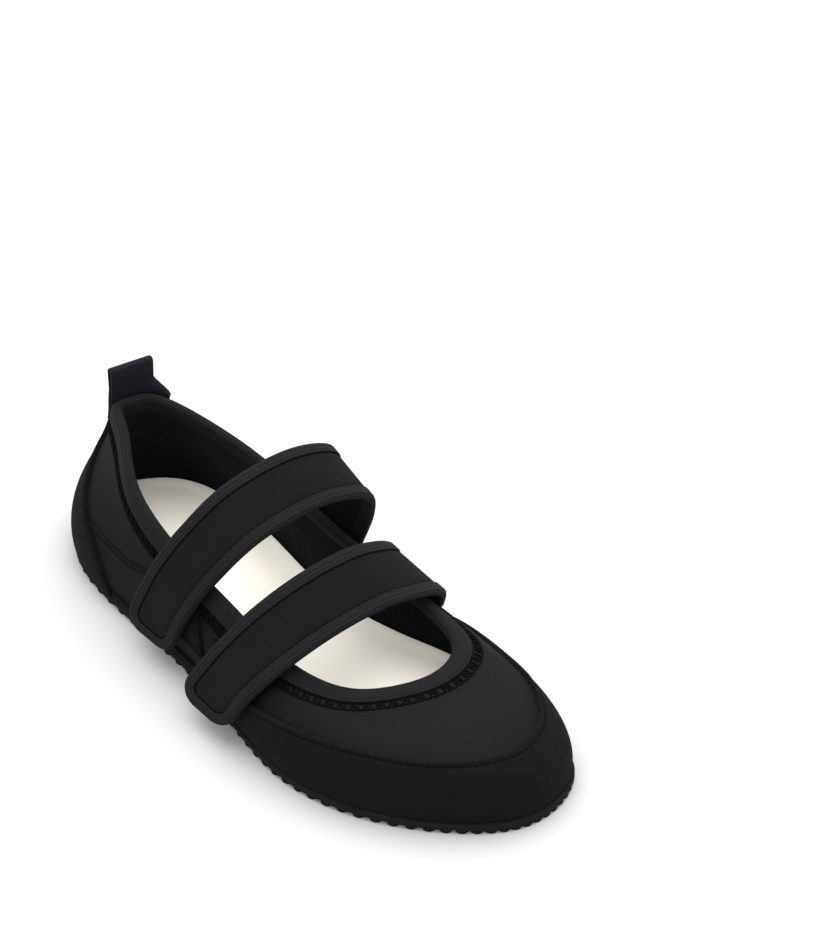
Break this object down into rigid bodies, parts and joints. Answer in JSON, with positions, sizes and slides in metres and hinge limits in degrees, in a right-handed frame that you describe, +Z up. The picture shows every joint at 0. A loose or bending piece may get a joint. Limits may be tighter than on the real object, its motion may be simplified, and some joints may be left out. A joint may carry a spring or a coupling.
{
  "type": "ballet slipper",
  "caption": "Flat slip-on shoe with hook-and-loop straps over the instep, bound collar, toe rand, heel counter, pull tab and thin lugged sole; right foot.",
  "frame": {"origin": "on the floor, under the middle of the shoe's box, both straps closed", "axes": "+X from heel to toe, +Y to the inner (big toe) side, +Z up"},
  "size_m": [0.247, 0.1016, 0.0799],
  "materials": {
    "sole_rubber": "matt moulded rubber",
    "insole_board": "plain fibre board",
    "footbed_foam": "plain foam",
    "footbed_cover": "cream smooth leather, faint creases",
    "smooth_panel": "smooth tight stretch cloth, slight sheen",
    "woven_lining": "open woven lining, dull",
    "suede_overlay": "fine napped suede, matt",
    "strap_suede": "fine napped suede, matt",
    "strap_tape": "ribbed binding tape",
    "collar_tape": "elastic binding tape with a slight sparkle",
    "fastener_hook": "hook half of a hook and loop fastener",
    "fastener_loop": "loop half of a hook and loop fastener, fuzzy",
    "webbing": "ribbed grosgrain webbing"
  },
  "bodies": {
    "shoe": {"outsole": "sole_rubber", "insole_board": "insole_board", "footbed_foam": "footbed_foam", "footbed_cover": "footbed_cover", "vamp": "smooth_panel", "quarter_outer_rear": "smooth_panel", "quarter_outer_front": "smooth_panel", "quarter_inner_rear": "smooth_panel", "quarter_inner_front": "smooth_panel", "vamp_lining": "woven_lining", "quarter_lining": "woven_lining", "toe_rand": "suede_overlay", "heel_counter": "suede_overlay", "foxing_outer": "suede_overlay", "rear_loop_patch": "fastener_loop", "front_loop_patch": "fastener_loop", "collar_binding": "collar_tape", "pull_tab_outer_leg": "webbing", "pull_tab_inner_leg": "webbing", "rear_strap_root": "strap_suede", "front_strap_root": "strap_suede"},
    "rear_strap": {"rear_strap_band_lining": "woven_lining", "rear_strap_band_shell": "strap_suede", "rear_strap_band_tape_rear": "strap_tape", "rear_strap_band_tape_front": "strap_tape"},
    "rear_tip": {"rear_strap_tip_lining": "woven_lining", "rear_strap_tip_shell": "strap_suede", "rear_strap_tip_tape": "strap_tape", "rear_hook_patch": "fastener_hook"},
    "front_strap": {"front_strap_band_lining": "woven_lining", "front_strap_band_shell": "strap_suede", "front_strap_band_tape_rear": "strap_tape", "front_strap_band_tape_front": "strap_tape"},
    "front_tip": {"front_strap_tip_lining": "woven_lining", "front_strap_tip_shell": "strap_suede", "front_strap_tip_tape": "strap_tape", "front_hook_patch": "fastener_hook"},
    "pull_tab": {"pull_tab_loop": "webbing"}
  },
  "joints": [
    {"name": "rear_strap_swing", "type": "hinge", "parent": "shoe", "child": "rear_strap", "pos_m": [-0.02674, 0.03972, 0.02602], "axis": [-0.9968, -0.0781, 0.0189], "range_deg": [0, 115]},
    {"name": "rear_strap_peel", "type": "hinge", "parent": "rear_strap", "child": "rear_tip", "pos_m": [-0.02738, -0.03846, 0.03587], "axis": [-0.9998, 0.0183, -0.0103], "range_deg": [0, 60]},
    {"name": "front_strap_swing", "type": "hinge", "parent": "shoe", "child": "front_strap", "pos_m": [0.0164, 0.04546, 0.02964], "axis": [-0.9905, -0.1364, -0.0164], "range_deg": [0, 110]},
    {"name": "front_strap_peel", "type": "hinge", "parent": "front_strap", "child": "front_tip", "pos_m": [0.01849, -0.04272, 0.03151], "axis": [-0.9998, 0.0146, -0.0132], "range_deg": [0, 60]},
    {"name": "pull_tab_flex", "type": "hinge", "parent": "shoe", "child": "pull_tab", "pos_m": [-0.11087, 0.00662, 0.05872], "axis": [0.1392, 0.9903, 0], "range_deg": [-25, 20], "stiffness_Nm_per_rad": 0.004}
  ]
}
